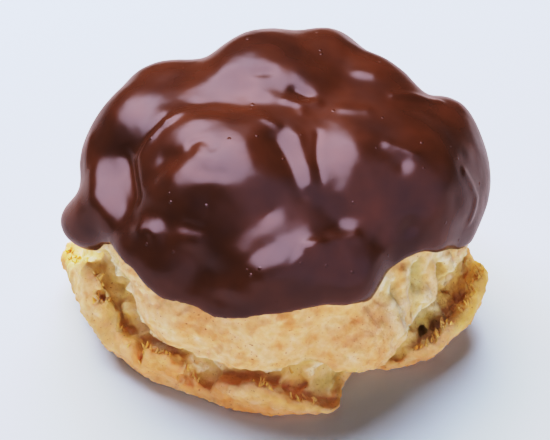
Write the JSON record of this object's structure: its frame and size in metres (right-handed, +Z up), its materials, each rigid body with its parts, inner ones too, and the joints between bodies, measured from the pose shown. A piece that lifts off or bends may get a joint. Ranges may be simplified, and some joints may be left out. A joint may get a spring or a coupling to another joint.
{
  "type": "chocolate-iced choux bun",
  "caption": "Round lumpy choux bun with a burst, ragged crust at its foot and glossy chocolate icing over the top.",
  "frame": {"origin": "centre of the flat foot the bun stands on", "axes": "+Z up; -Y towards the front, where the pastry shows below the icing; +X to the right seen from the front"},
  "size_m": [0.0894, 0.0794, 0.0567],
  "materials": {
    "choux_pastry": "baked choux crust, golden, matte and finely pitted",
    "chocolate_icing": "poured chocolate icing, smooth and glossy"
  },
  "bodies": {
    "root": {"choux_pastry": "choux_pastry", "chocolate_icing": "chocolate_icing"}
  },
  "joints": []
}
